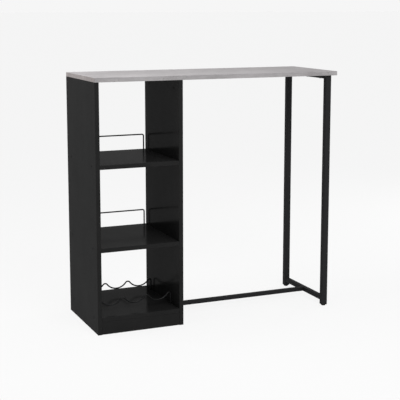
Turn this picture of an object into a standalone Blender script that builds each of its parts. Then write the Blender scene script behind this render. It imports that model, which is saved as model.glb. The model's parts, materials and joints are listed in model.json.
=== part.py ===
"""Breakfast bar table: a long top on an open shelf unit at one end and a steel leg frame at the other.

Metres, +Z up. The origin is on the floor under the middle of the top, +X points to the leg frame and -Y to
the front.
"""

import math

import bmesh
import bpy
from mathutils import Matrix, Vector

# Gap that two touching pieces keep, and how far a cutter runs past the face that it enters
FIT = 0.0003
OVERCUT = 0.002

# Top
TOP_LENGTH = 1.100
TOP_DEPTH = 0.400
TOP_THICKNESS = 0.018
TABLE_HEIGHT = 1.050
TOP_COVER = 0.007  # board left over a hole drilled into the top from below

# Shelf unit
UNIT_WIDTH = 0.376
SIDE_THICKNESS = 0.018
SHELF_THICKNESS = 0.018
UPPER_SHELF_TOP = 0.701
MIDDLE_SHELF_TOP = 0.361
PLINTH_HEIGHT = 0.054
PLINTH_THICKNESS = 0.018
PLINTH_LIFT = 0.001
EDGE_ROUND = 0.0008

# Wire of the guard rails and the bottle cradle, plugged into the shelves
WIRE_DIAMETER = 0.006
WIRE_SEAT_DEPTH = 0.005

# Guard rails: heights and setbacks are to the middle of the wire
RAIL_HEIGHT = 0.066
RAIL_SIDE_SETBACK = 0.012
RAIL_BACK_SETBACK = 0.010
RAIL_BEND_RADIUS = 0.008

# Bottle cradle: two waves of wire, one valley for each bottle
BOTTLE_PLACES = 3
CRADLE_PEAK_HEIGHT = 0.0515
CRADLE_VALLEY_HEIGHT = 0.0255
CRADLE_PEAK_RADIUS = 0.012
CRADLE_END_RADIUS = 0.007
CRADLE_SIDE_SETBACK = 0.008
CRADLE_FRONT_SETBACK = 0.083
CRADLE_BACK_SETBACK = 0.079

# Leg frame of square steel tube
LEG_TUBE = 0.025
LEG_WALL = 0.0012
LEG_END_SETBACK = 0.023
LEG_EDGE_SETBACK = 0.0095
CROSSBAR_TUBE = 0.020
CROSSBAR_WALL = 0.0012
CROSSBAR_MIDDLE_HEIGHT = 0.0318
TOP_BAR_WIDTH = 0.020
TOP_BAR_HEIGHT = 0.015
TOP_BAR_WALL = 0.0012
FOOT_BAR_TUBE = 0.018
FOOT_BAR_WALL = 0.0012
TUBE_CORNER_RADIUS = 0.0020

# Levelling feet: a plastic base on a threaded stud, screwed into a plastic insert in the leg
FOOT_DIAMETER = 0.020
FOOT_HEIGHT = 0.005
FOOT_CHAMFER = 0.0010
STUD_DIAMETER = 0.006
STUD_LENGTH = 0.025
STUD_SEAT = 0.003
STUD_CHAMFER = 0.0008
INSERT_DEPTH = 0.020
INSERT_FLANGE = 0.002

# Screws through the side panels into the shelf ends
SHELF_SCREW_SETBACK = 0.055
SHELF_SCREW_LENGTH = 0.050
SHELF_SCREW_RADIUS = 0.0034
SHELF_SCREW_TIP = 0.003
SHELF_SCREW_HEAD_RADIUS = 0.0048
SHELF_SCREW_HEAD_HEIGHT = 0.0030
SHELF_SCREW_HEX_RADIUS = 0.0023
SHELF_SCREW_HEX_DEPTH = 0.0024

# Dowels from the plinths into the side panels
DOWEL_RADIUS = 0.004
DOWEL_LENGTH = 0.030
DOWEL_IN_PANEL = 0.011
DOWEL_CHAMFER = 0.0010

# Cams in the side panels and the bolts that they pull down
CAM_SETBACK = 0.055
CAM_DROP = 0.034
CAM_RADIUS = 0.0075
CAM_BACK = 0.0013  # cam left behind the bolt
CAM_SLOT_LENGTH = 0.0110
CAM_SLOT_WIDTH = 0.0016
CAM_SLOT_DEPTH = 0.0020
CAM_BOLT_RADIUS = 0.0030
CAM_BOLT_NECK_RADIUS = 0.0020
CAM_BOLT_HEAD_RADIUS = 0.0032
CAM_BOLT_HEAD_HEIGHT = 0.0025
CAM_BOLT_NECK_HEIGHT = 0.0050

# Screws up through the top crossbar
BAR_SCREW_END_SETBACK = 0.050
BAR_SCREW_RADIUS = 0.0020
BAR_SCREW_TIP = 0.003
BAR_SCREW_HEAD_RADIUS = 0.0042
BAR_SCREW_HEAD_HEIGHT = 0.0025

# Bolts and threaded plugs at the two ends of the foot bar
BAR_PLUG_LENGTH = 0.016
BAR_BOLT_RADIUS = 0.0030
BAR_BOLT_IN_PLUG = 0.012
BAR_BOLT_HEAD_RADIUS = 0.0058
BAR_BOLT_HEAD_HEIGHT = 0.0033
BAR_BOLT_HEAD_CROWN = 0.0012
BAR_BOLT_HEX_RADIUS = 0.0023
BAR_BOLT_HEX_DEPTH = 0.0020

# Facets of round pieces; a wire has 4 sides and 4 more for each step of its resolution
ROUND_SIDES = 12
FOOT_SIDES = 24
HEX_SIDES = 6
WIRE_RESOLUTION = 2
BEND_STEPS = 5
VALLEY_STEPS = 10
PEAK_STEPS = 6
CORNER_STEPS = 3
EASED_STEPS = 2

# Edges sharper than this, in degrees, are drawn as edges; points closer than this are one point
SHARP_EDGE = 40
SAME_POINT = 0.000001

# Finishes: sRGB colour, roughness, metallic
CONCRETE_LAMINATE = ("concrete_laminate", "B4B1AE", 0.55, 0.0)
BLACK_MELAMINE = ("black_melamine", "262626", 0.35, 0.0)
BLACK_POWDER_COAT = ("black_powder_coat", "2B2B2C", 0.50, 0.0)
BLACK_WIRE_COAT = ("black_wire_coat", "1C1C1D", 0.40, 0.0)
BLACK_PLASTIC = ("black_plastic", "1E1E1E", 0.55, 0.0)
BLACK_OXIDE_STEEL = ("black_oxide_steel", "303032", 0.45, 1.0)
ZINC_STEEL = ("zinc_steel", "B8BABC", 0.35, 1.0)
BEECH = ("beech", "C79F6B", 0.70, 0.0)

# Places that several pieces share
LEFT_END = -TOP_LENGTH / 2
RIGHT_END = TOP_LENGTH / 2
FRONT = -TOP_DEPTH / 2
BACK = TOP_DEPTH / 2
TOP_UNDERSIDE = TABLE_HEIGHT - TOP_THICKNESS
INNER_LEFT = LEFT_END + SIDE_THICKNESS
UNIT_RIGHT = LEFT_END + UNIT_WIDTH
INNER_RIGHT = UNIT_RIGHT - SIDE_THICKNESS
UNIT_MIDDLE = LEFT_END + UNIT_WIDTH / 2
BOTTOM_SHELF_TOP = PLINTH_HEIGHT + SHELF_THICKNESS
LEG_X = RIGHT_END - LEG_END_SETBACK - LEG_TUBE / 2
LEG_Y = BACK - LEG_EDGE_SETBACK - LEG_TUBE / 2
LEG_BOTTOM = FOOT_HEIGHT + FIT + INSERT_FLANGE + FIT
WIRE_RADIUS = WIRE_DIAMETER / 2

UP = Vector((0, 0, 1))
RIGHT = Vector((1, 0, 0))
LEFT = Vector((-1, 0, 0))
BACKWARD = Vector((0, 1, 0))


def new_collection(name):
    collection = bpy.data.collections.new(name)
    bpy.context.scene.collection.children.link(collection)
    return collection


def linear(channel):
    """One sRGB channel, 0 to 1, as linear light."""
    if channel <= 0.04045:
        return channel / 12.92
    return ((channel + 0.055) / 1.055) ** 2.4


def material_of(finish):
    """The material of a finish, made when it is first asked for."""
    name, colour, roughness, metallic = finish
    if name in bpy.data.materials:
        return bpy.data.materials[name]
    material = bpy.data.materials.new(name)
    material.use_nodes = True
    shader = material.node_tree.nodes["Principled BSDF"]
    channels = [linear(byte / 255) for byte in bytes.fromhex(colour)]
    shader.inputs["Base Color"].default_value = (*channels, 1.0)
    shader.inputs["Roughness"].default_value = roughness
    shader.inputs["Metallic"].default_value = metallic
    return material


def turned_towards(direction):
    """The rotation that points a piece's own +Z along direction."""
    return UP.rotation_difference(direction).to_euler()


def place(name, mesh, finish, location, direction=UP):
    """Adds one sub-part, its own +Z pointing along direction."""
    mesh.materials.clear()
    mesh.materials.append(material_of(finish))
    piece = bpy.data.objects.new(name, mesh)
    piece.location = location
    piece.rotation_euler = turned_towards(direction)
    parts.objects.link(piece)
    return piece


def helper(name, mesh, location, direction):
    """A shape that only cuts or joins other pieces."""
    shape = bpy.data.objects.new(name, mesh)
    shape.location = location
    shape.rotation_euler = turned_towards(direction)
    shape.hide_render = True
    shape.display_type = "WIRE"
    cutters.objects.link(shape)
    return shape


def combine(piece, shape, operation="DIFFERENCE"):
    """Cuts a helper shape out of a piece, or joins it to the piece."""
    step = piece.modifiers.new(shape.name, "BOOLEAN")
    step.operation = operation
    step.solver = "EXACT"
    step.object = shape


def box_mesh(name, size):
    shape = bmesh.new()
    bmesh.ops.create_cube(shape, size=1)
    bmesh.ops.scale(shape, vec=size, verts=shape.verts)
    mesh = bpy.data.meshes.new(name)
    shape.to_mesh(mesh)
    shape.free()
    return mesh


def cone_mesh(name, length, start_radius, end_radius, sides):
    """A cone or cylinder that runs from its origin along +Z."""
    shape = bmesh.new()
    bmesh.ops.create_cone(
        shape, cap_ends=True, segments=sides, radius1=start_radius, radius2=end_radius, depth=length
    )
    bmesh.ops.translate(shape, vec=(0, 0, length / 2), verts=shape.verts)
    mesh = bpy.data.meshes.new(name)
    shape.to_mesh(mesh)
    shape.free()
    return mesh


def drill(piece, start, direction, depth, radius, mouth_radius=None, sides=ROUND_SIDES):
    """Drills a hole from a face at start; with a mouth_radius it is a countersink that narrows to radius."""
    mouth = radius if mouth_radius is None else mouth_radius
    wider = (mouth - radius) / depth * OVERCUT
    mesh = cone_mesh("hole", depth + OVERCUT, mouth + wider, radius, sides)
    combine(piece, helper(piece.name + "_hole", mesh, start - direction * OVERCUT, direction))


def finished_mesh(name, source):
    """The evaluated mesh of a helper object, with its seams welded, as a mesh of its own. The helper goes."""
    graph = bpy.context.evaluated_depsgraph_get()
    mesh = bpy.data.meshes.new_from_object(source.evaluated_get(graph))
    mesh.name = name
    bpy.data.objects.remove(source, do_unlink=True)
    shape = bmesh.new()
    shape.from_mesh(mesh)
    bmesh.ops.remove_doubles(shape, verts=shape.verts, dist=SAME_POINT)
    bmesh.ops.recalc_face_normals(shape, faces=shape.faces)
    shape.to_mesh(mesh)
    shape.free()
    mesh.shade_smooth()
    mesh.set_sharp_from_angle(angle=math.radians(SHARP_EDGE))
    return mesh


def turned_mesh(name, profile, sides=ROUND_SIDES):
    """A profile of (radius, height) points, top to bottom, turned round the Z axis."""
    outline = bpy.data.meshes.new(name)
    points = [(radius, 0, height) for radius, height in profile]
    edges = [(index, index + 1) for index in range(len(points) - 1)]
    outline.from_pydata(points, edges, [])
    lathe = bpy.data.objects.new(name, outline)
    cutters.objects.link(lathe)
    spin = lathe.modifiers.new("turned", "SCREW")
    spin.steps = sides
    spin.render_steps = sides
    spin.use_merge_vertices = True
    spin.merge_threshold = SAME_POINT
    return finished_mesh(name, lathe)


def arc(centre_x, centre_z, radius, start, end, steps):
    """Points of an arc in the XZ plane, angles in degrees from +X towards +Z."""
    points = []
    for step in range(steps + 1):
        angle = math.radians(start + (end - start) * step / steps)
        points.append((centre_x + radius * math.cos(angle), centre_z + radius * math.sin(angle)))
    return points


def wire(name, path, location):
    """A round steel wire through (x, z) points, standing in the plane across the unit."""
    curve = bpy.data.curves.new(name, "CURVE")
    curve.dimensions = "3D"
    curve.bevel_depth = WIRE_RADIUS
    curve.bevel_resolution = WIRE_RESOLUTION
    curve.use_fill_caps = True
    spline = curve.splines.new("POLY")
    spline.points.add(len(path) - 1)
    for point, (x, z) in zip(spline.points, path):
        point.co = (x, 0, z, 1)
    return place(name, curve, BLACK_WIRE_COAT, location)


def rounded_rectangle(width, height, radius):
    """Corner points of a rectangle with rounded corners, counterclockwise."""
    across = width / 2 - radius
    along = height / 2 - radius
    corners = ((across, along), (-across, along), (-across, -along), (across, -along))
    points = []
    for quarter, (x, y) in enumerate(corners):
        points += arc(x, y, radius, 90 * quarter, 90 * (quarter + 1), CORNER_STEPS)
    return points


def bar_mesh(name, outlines, length):
    """A straight bar, centred on its origin along its own Z; a second outline in the first is its bore."""
    curve = bpy.data.curves.new(name, "CURVE")
    curve.dimensions = "2D"
    curve.fill_mode = "BOTH"
    curve.extrude = length / 2
    for outline in outlines:
        spline = curve.splines.new("POLY")
        spline.points.add(len(outline) - 1)
        spline.use_cyclic_u = True
        for point, (x, y) in zip(spline.points, outline):
            point.co = (x, y, 0, 1)
    source = bpy.data.objects.new(name, curve)
    cutters.objects.link(source)
    return finished_mesh(name, source)


def tube_mesh(name, width, height, wall, length):
    """A rectangular tube with rounded corners."""
    outer = rounded_rectangle(width, height, TUBE_CORNER_RADIUS)
    inner = rounded_rectangle(width - 2 * wall, height - 2 * wall, TUBE_CORNER_RADIUS - wall)
    return bar_mesh(name, (outer, inner), length)


def board(name, low, high, finish):
    """A board between two corners, its edges eased."""
    low = Vector(low)
    high = Vector(high)
    piece = place(name, box_mesh(name, high - low), finish, (low + high) / 2)
    ease = piece.modifiers.new("eased_edges", "BEVEL")
    ease.width = EDGE_ROUND
    ease.segments = EASED_STEPS
    ease.limit_method = "ANGLE"
    return piece


def make_boards():
    """The top, the two side panels, the three shelves and the two plinths."""
    boards = {}

    def add(name, low, high, finish=BLACK_MELAMINE):
        boards[name] = board(name, low, high, finish)

    add("tabletop", (LEFT_END, FRONT, TOP_UNDERSIDE), (RIGHT_END, BACK, TABLE_HEIGHT), CONCRETE_LAMINATE)
    panel_top = TOP_UNDERSIDE - FIT
    add("left_side_panel", (LEFT_END, FRONT, 0), (INNER_LEFT, BACK, panel_top))
    add("right_side_panel", (INNER_RIGHT, FRONT, 0), (UNIT_RIGHT, BACK, panel_top))
    left = INNER_LEFT + FIT
    right = INNER_RIGHT - FIT
    for name, top in shelf_tops.items():
        add(name, (left, FRONT, top - SHELF_THICKNESS), (right, BACK, top))
    plinth_top = PLINTH_HEIGHT - FIT
    add("front_plinth", (left, FRONT, PLINTH_LIFT), (right, FRONT + PLINTH_THICKNESS, plinth_top))
    add("rear_plinth", (left, BACK - PLINTH_THICKNESS, PLINTH_LIFT), (right, BACK, plinth_top))
    return boards


def seat_wire_ends(shelf, half_span, y, top):
    """Drills the two holes that take the ends of a wire."""
    for side in (-1, 1):
        mouth = Vector((UNIT_MIDDLE + side * half_span, y, top))
        drill(shelf, mouth, -UP, WIRE_SEAT_DEPTH, WIRE_RADIUS + FIT)


def make_guard_rails(boards):
    """A wire along the back of the upper and the middle shelf, so that nothing slides off."""
    half_span = UNIT_WIDTH / 2 - SIDE_THICKNESS - RAIL_SIDE_SETBACK
    bend = RAIL_BEND_RADIUS
    path = [(-half_span, FIT - WIRE_SEAT_DEPTH)]
    path += arc(bend - half_span, RAIL_HEIGHT - bend, bend, 180, 90, BEND_STEPS)
    path += arc(half_span - bend, RAIL_HEIGHT - bend, bend, 90, 0, BEND_STEPS)
    path.append((half_span, FIT - WIRE_SEAT_DEPTH))
    y = BACK - RAIL_BACK_SETBACK
    for name in ("upper", "middle"):
        top = shelf_tops[name + "_shelf"]
        wire(name + "_guard_rail", path, (UNIT_MIDDLE, y, top))
        seat_wire_ends(boards[name + "_shelf"], half_span, y, top)


def cradle_pitch(half_span):
    """Distance between two valleys, and the slope in degrees where a valley turns into a peak.

    The ends are as high as the peaks but bend with a smaller radius, which draws them in by this tightening
    times the tangent of half the slope. That tangent is the rise over half a pitch, so the pitch that fills
    the span is the root of a quadratic.
    """
    rise = CRADLE_PEAK_HEIGHT - CRADLE_VALLEY_HEIGHT
    tightening = CRADLE_PEAK_RADIUS - CRADLE_END_RADIUS
    end_x = half_span - CRADLE_END_RADIUS
    pitch = (end_x + math.sqrt(end_x**2 + 4 * BOTTLE_PLACES * rise * tightening)) / BOTTLE_PLACES
    return pitch, math.degrees(2 * math.atan(2 * rise / pitch))


def cradle_path(half_span):
    """The wave from one end to the other: wide valleys, narrow peaks, ends that turn straight down."""
    pitch, slope = cradle_pitch(half_span)
    valley_radius = pitch / 2 / math.sin(math.radians(slope)) - CRADLE_PEAK_RADIUS
    valley_z = CRADLE_VALLEY_HEIGHT + valley_radius
    peak_z = CRADLE_PEAK_HEIGHT - CRADLE_PEAK_RADIUS
    end_x = half_span - CRADLE_END_RADIUS
    end_z = CRADLE_PEAK_HEIGHT - CRADLE_END_RADIUS
    path = [(-half_span, FIT - WIRE_SEAT_DEPTH)]
    path += arc(-end_x, end_z, CRADLE_END_RADIUS, 180, 90 - slope, BEND_STEPS)
    first = -(BOTTLE_PLACES - 1) / 2 * pitch
    for place_number in range(BOTTLE_PLACES):
        middle = first + place_number * pitch
        path += arc(middle, valley_z, valley_radius, 270 - slope, 270 + slope, VALLEY_STEPS)
        if place_number < BOTTLE_PLACES - 1:
            peak = arc(middle + pitch / 2, peak_z, CRADLE_PEAK_RADIUS, 90 + slope, 90 - slope, PEAK_STEPS)
            path += peak[1:-1]
    path += arc(end_x, end_z, CRADLE_END_RADIUS, 90 + slope, 0, BEND_STEPS)
    path.append((half_span, FIT - WIRE_SEAT_DEPTH))
    return path


def make_bottle_cradle(boards):
    """Two waves of wire across the bottom shelf: bottles lie in the valleys."""
    half_span = UNIT_WIDTH / 2 - SIDE_THICKNESS - CRADLE_SIDE_SETBACK
    path = cradle_path(half_span)
    for row, y in (("front", FRONT + CRADLE_FRONT_SETBACK), ("rear", BACK - CRADLE_BACK_SETBACK)):
        wire(row + "_bottle_wire", path, (UNIT_MIDDLE, y, BOTTOM_SHELF_TOP))
        seat_wire_ends(boards["bottom_shelf"], half_span, y, BOTTOM_SHELF_TOP)


def make_leg_frame():
    """Two legs and two crossbars, welded to one frame, and the foot bar that runs to the shelf unit."""
    tubes = {}
    leg_top = TOP_UNDERSIDE - FIT
    leg_middle = (leg_top + LEG_BOTTOM) / 2
    leg = tube_mesh("leg", LEG_TUBE, LEG_TUBE, LEG_WALL, leg_top - LEG_BOTTOM)
    for name, y in (("front_leg", -LEG_Y), ("rear_leg", LEG_Y)):
        tubes[name] = place(name, leg, BLACK_POWDER_COAT, (LEG_X, y, leg_middle))
    between = 2 * (LEG_Y - LEG_TUBE / 2 - FIT)
    crossbar = tube_mesh("crossbar", CROSSBAR_TUBE, CROSSBAR_TUBE, CROSSBAR_WALL, between)
    low = (LEG_X, 0, CROSSBAR_MIDDLE_HEIGHT)
    tubes["bottom_crossbar"] = place("bottom_crossbar", crossbar, BLACK_POWDER_COAT, low, BACKWARD)
    top_bar = tube_mesh("top_bar", TOP_BAR_WIDTH, TOP_BAR_HEIGHT, TOP_BAR_WALL, between)
    high = (LEG_X, 0, TOP_UNDERSIDE - FIT - TOP_BAR_HEIGHT / 2)
    tubes["top_crossbar"] = place("top_crossbar", top_bar, BLACK_POWDER_COAT, high, BACKWARD)
    start = UNIT_RIGHT + FIT
    end = LEG_X - CROSSBAR_TUBE / 2 - FIT
    foot_bar = tube_mesh("foot_bar", FOOT_BAR_TUBE, FOOT_BAR_TUBE, FOOT_BAR_WALL, end - start)
    middle = ((start + end) / 2, 0, CROSSBAR_MIDDLE_HEIGHT)
    tubes["foot_bar"] = place("foot_bar", foot_bar, BLACK_POWDER_COAT, middle, RIGHT)
    return tubes


def plug_mesh(name, side, length):
    """A square plug that fills a tube, from its origin along +Z."""
    mesh = box_mesh(name, (side, side, length))
    mesh.transform(Matrix.Translation((0, 0, length / 2)))
    return mesh


def make_feet():
    """For each leg: an insert in its end, a stud that screws into it, and a round base on the stud."""
    seat_radius = STUD_DIAMETER / 2 + FIT
    rim = FOOT_DIAMETER / 2
    base = turned_mesh(
        "foot_base",
        [
            (0, FOOT_HEIGHT - STUD_SEAT),
            (seat_radius, FOOT_HEIGHT - STUD_SEAT),
            (seat_radius, FOOT_HEIGHT),
            (rim - FOOT_CHAMFER, FOOT_HEIGHT),
            (rim, FOOT_HEIGHT - FOOT_CHAMFER),
            (rim, FOOT_CHAMFER),
            (rim - FOOT_CHAMFER, 0),
            (0, 0),
        ],
        FOOT_SIDES,
    )
    stud_radius = STUD_DIAMETER / 2
    stud_top = FOOT_HEIGHT + STUD_LENGTH
    stud_bottom = FOOT_HEIGHT - STUD_SEAT + FIT
    stud = turned_mesh(
        "foot_stud",
        [
            (0, stud_top),
            (stud_radius - STUD_CHAMFER, stud_top),
            (stud_radius, stud_top - STUD_CHAMFER),
            (stud_radius, stud_bottom),
            (0, stud_bottom),
        ],
    )
    for end, y in (("front", -LEG_Y), ("rear", LEG_Y)):
        axis = Vector((LEG_X, y, 0))
        place(end + "_foot_base", base, BLACK_PLASTIC, axis)
        place(end + "_foot_stud", stud, ZINC_STEEL, axis)
        make_leg_insert(end + "_leg_insert", axis)


def make_leg_insert(name, axis):
    """A square plug inside the leg with a flange under its end, bored for the stud."""
    bottom = axis + UP * (FOOT_HEIGHT + FIT)
    length = INSERT_FLANGE + INSERT_DEPTH
    side = LEG_TUBE - 2 * (LEG_WALL + FIT)
    insert = place(name, plug_mesh(name, side, length), BLACK_PLASTIC, bottom)
    outline = rounded_rectangle(LEG_TUBE, LEG_TUBE, TUBE_CORNER_RADIUS)
    flange = bar_mesh("flange", (outline,), INSERT_FLANGE)
    combine(insert, helper(name + "_flange", flange, bottom + UP * INSERT_FLANGE / 2, UP), "UNION")
    drill(insert, bottom, UP, length + OVERCUT, STUD_DIAMETER / 2 + FIT)


def make_shelf_screws(boards):
    """Countersunk screws through both side panels into the ends of the shelves."""
    head = SHELF_SCREW_HEAD_HEIGHT
    mesh = turned_mesh(
        "shelf_screw",
        [
            (0, 0),
            (SHELF_SCREW_HEAD_RADIUS, 0),
            (SHELF_SCREW_RADIUS, -head),
            (SHELF_SCREW_RADIUS, SHELF_SCREW_TIP - SHELF_SCREW_LENGTH),
            (0, -SHELF_SCREW_LENGTH),
        ],
    )
    in_shelf = SHELF_SCREW_LENGTH - SIDE_THICKNESS
    sides = (("left", LEFT_END, INNER_LEFT, RIGHT), ("right", UNIT_RIGHT, INNER_RIGHT, LEFT))
    for shelf_name, shelf_top in shelf_tops.items():
        z = shelf_top - SHELF_THICKNESS / 2
        for side, outer, inner, inward in sides:
            panel = boards[side + "_side_panel"]
            for end, y in (("front", FRONT + SHELF_SCREW_SETBACK), ("rear", BACK - SHELF_SCREW_SETBACK)):
                head_face = Vector((outer, y, z))
                radius = SHELF_SCREW_RADIUS + FIT
                drill(panel, head_face, inward, SIDE_THICKNESS + OVERCUT, radius)
                drill(panel, head_face, inward, head + FIT, radius, SHELF_SCREW_HEAD_RADIUS + FIT)
                drill(boards[shelf_name], Vector((inner, y, z)), inward, in_shelf + FIT, radius)
                name = shelf_name + "_screw_" + side + "_" + end
                screw = place(name, mesh, BLACK_OXIDE_STEEL, head_face, -inward)
                hex_depth = SHELF_SCREW_HEX_DEPTH
                drill(screw, head_face, inward, hex_depth, SHELF_SCREW_HEX_RADIUS, sides=HEX_SIDES)


def make_plinth_dowels(boards):
    """Wooden dowels that hold the plinths between the side panels."""
    tip = DOWEL_RADIUS - DOWEL_CHAMFER
    dowel = turned_mesh(
        "dowel",
        [
            (0, 0),
            (tip, 0),
            (DOWEL_RADIUS, -DOWEL_CHAMFER),
            (DOWEL_RADIUS, DOWEL_CHAMFER - DOWEL_LENGTH),
            (tip, -DOWEL_LENGTH),
            (0, -DOWEL_LENGTH),
        ],
    )
    z = (PLINTH_HEIGHT + PLINTH_LIFT) / 2
    radius = DOWEL_RADIUS + FIT
    sides = (("left", INNER_LEFT, RIGHT), ("right", INNER_RIGHT, LEFT))
    rows = (("front_plinth", FRONT + PLINTH_THICKNESS / 2), ("rear_plinth", BACK - PLINTH_THICKNESS / 2))
    for plinth, y in rows:
        for side, inner, inward in sides:
            joint = Vector((inner, y, z))
            drill(boards[side + "_side_panel"], joint, -inward, DOWEL_IN_PANEL + FIT, radius)
            drill(boards[plinth], joint, inward, DOWEL_LENGTH - DOWEL_IN_PANEL + FIT, radius)
            place(plinth + "_dowel_" + side, dowel, BEECH, joint - inward * DOWEL_IN_PANEL, -inward)


def make_top_cams(boards):
    """Bolts that hang from the top into the side panels, each held by a cam in the panel's inner face."""
    in_top = TOP_THICKNESS - TOP_COVER
    head_top = CAM_BOLT_HEAD_HEIGHT - CAM_DROP
    neck_top = head_top + CAM_BOLT_NECK_HEIGHT
    bolt = turned_mesh(
        "cam_bolt",
        [
            (0, in_top),
            (CAM_BOLT_RADIUS, in_top),
            (CAM_BOLT_RADIUS, neck_top),
            (CAM_BOLT_NECK_RADIUS, neck_top),
            (CAM_BOLT_NECK_RADIUS, head_top),
            (CAM_BOLT_HEAD_RADIUS, head_top),
            (CAM_BOLT_HEAD_RADIUS, -CAM_DROP),
            (0, -CAM_DROP),
        ],
    )
    bore = max(CAM_BOLT_RADIUS, CAM_BOLT_HEAD_RADIUS) + FIT
    depth = SIDE_THICKNESS / 2 + bore + CAM_BACK
    disc = cone_mesh("cam", depth, CAM_RADIUS, CAM_RADIUS, ROUND_SIDES)
    panel_top = TOP_UNDERSIDE - FIT
    sides = (("left", INNER_LEFT, LEFT), ("right", INNER_RIGHT, RIGHT))
    for side, inner, outward in sides:
        panel = boards[side + "_side_panel"]
        for end, y in (("front", FRONT + CAM_SETBACK), ("rear", BACK - CAM_SETBACK)):
            axis = Vector((inner, y, 0)) + outward * SIDE_THICKNESS / 2
            under_top = axis + UP * TOP_UNDERSIDE
            drill(boards["tabletop"], under_top, UP, in_top + FIT, CAM_BOLT_RADIUS + FIT)
            drill(panel, axis + UP * panel_top, -UP, CAM_DROP, bore)
            face = Vector((inner, y, TOP_UNDERSIDE - CAM_DROP))
            drill(panel, face, outward, depth + FIT, CAM_RADIUS + FIT)
            place(side + "_top_cam_bolt_" + end, bolt, ZINC_STEEL, under_top)
            cam = place(side + "_top_cam_" + end, disc, BLACK_PLASTIC, face, outward)
            drill(cam, axis + UP * (face.z + CAM_RADIUS), -UP, CAM_RADIUS + FIT, bore)
            slot = box_mesh("slot", (CAM_SLOT_LENGTH, CAM_SLOT_WIDTH, 2 * CAM_SLOT_DEPTH))
            combine(cam, helper(cam.name + "_slot", slot, face, outward))


def make_bar_screws(boards, tubes):
    """Screws up through the top crossbar into the top."""
    length = TOP_BAR_HEIGHT + FIT + TOP_THICKNESS - TOP_COVER
    crown = BAR_SCREW_HEAD_HEIGHT / 2
    screw = turned_mesh(
        "bar_screw",
        [
            (0, BAR_SCREW_HEAD_HEIGHT),
            (BAR_SCREW_HEAD_RADIUS - crown, BAR_SCREW_HEAD_HEIGHT),
            (BAR_SCREW_HEAD_RADIUS, BAR_SCREW_HEAD_HEIGHT - crown),
            (BAR_SCREW_HEAD_RADIUS, 0),
            (BAR_SCREW_RADIUS, 0),
            (BAR_SCREW_RADIUS, BAR_SCREW_TIP - length),
            (0, -length),
        ],
    )
    reach = LEG_Y - LEG_TUBE / 2 - BAR_SCREW_END_SETBACK
    bar_bottom = TOP_UNDERSIDE - FIT - TOP_BAR_HEIGHT
    radius = BAR_SCREW_RADIUS + FIT
    for name, y in (("front", -reach), ("middle", 0), ("rear", reach)):
        under_bar = Vector((LEG_X, y, bar_bottom))
        drill(tubes["top_crossbar"], under_bar, UP, TOP_BAR_HEIGHT + OVERCUT, radius)
        drill(boards["tabletop"], Vector((LEG_X, y, TOP_UNDERSIDE)), UP, TOP_THICKNESS - TOP_COVER, radius)
        place("top_bar_screw_" + name, screw, ZINC_STEEL, under_bar - UP * FIT, -UP)


def bar_bolt_mesh(grip):
    """A button-head bolt that clamps a piece of the given thickness to a threaded plug."""
    shank = FIT + grip + FIT + BAR_BOLT_IN_PLUG
    height = BAR_BOLT_HEAD_HEIGHT
    return turned_mesh(
        "bar_bolt",
        [
            (0, height),
            (BAR_BOLT_HEAD_RADIUS - BAR_BOLT_HEAD_CROWN, height),
            (BAR_BOLT_HEAD_RADIUS, height - BAR_BOLT_HEAD_CROWN),
            (BAR_BOLT_HEAD_RADIUS, 0),
            (BAR_BOLT_RADIUS, 0),
            (BAR_BOLT_RADIUS, -shank),
            (0, -shank),
        ],
    )


def make_foot_bar_fixings(boards, tubes):
    """At each end of the foot bar a threaded plug, and a bolt through what the bar meets."""
    side = FOOT_BAR_TUBE - 2 * (FOOT_BAR_WALL + FIT)
    radius = BAR_BOLT_RADIUS + FIT
    panel = (boards["right_side_panel"], SIDE_THICKNESS, INNER_RIGHT, UNIT_RIGHT, RIGHT)
    frame_face = LEG_X - CROSSBAR_TUBE / 2
    frame = (tubes["bottom_crossbar"], CROSSBAR_TUBE, LEG_X + CROSSBAR_TUBE / 2, frame_face, LEFT)
    for end, (clamped, grip, head_x, bar_x, inward) in (("panel", panel), ("frame", frame)):
        head_face = Vector((head_x, 0, CROSSBAR_MIDDLE_HEIGHT))
        drill(clamped, head_face, inward, grip + OVERCUT, radius)
        bolt_mesh = bar_bolt_mesh(grip)
        under_head = head_face - inward * FIT
        bolt = place("foot_bar_" + end + "_bolt", bolt_mesh, BLACK_OXIDE_STEEL, under_head, -inward)
        head_top = under_head - inward * BAR_BOLT_HEAD_HEIGHT
        drill(bolt, head_top, inward, BAR_BOLT_HEX_DEPTH, BAR_BOLT_HEX_RADIUS, sides=HEX_SIDES)
        bar_end = Vector((bar_x, 0, CROSSBAR_MIDDLE_HEIGHT)) + inward * FIT
        square = plug_mesh("bar_plug", side, BAR_PLUG_LENGTH)
        plug = place("foot_bar_" + end + "_plug", square, BLACK_OXIDE_STEEL, bar_end, inward)
        drill(plug, bar_end, inward, BAR_PLUG_LENGTH + OVERCUT, radius)


def main():
    boards = make_boards()
    make_guard_rails(boards)
    make_bottle_cradle(boards)
    tubes = make_leg_frame()
    make_feet()
    make_shelf_screws(boards)
    make_plinth_dowels(boards)
    make_top_cams(boards)
    make_bar_screws(boards, tubes)
    make_foot_bar_fixings(boards, tubes)


for leftover in list(bpy.data.objects):
    bpy.data.objects.remove(leftover, do_unlink=True)
parts = new_collection("breakfast_bar_table")
cutters = new_collection("cutters")
shelf_tops = {
    "upper_shelf": UPPER_SHELF_TOP,
    "middle_shelf": MIDDLE_SHELF_TOP,
    "bottom_shelf": BOTTOM_SHELF_TOP,
}
main()
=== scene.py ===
# %% [markdown]
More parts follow.
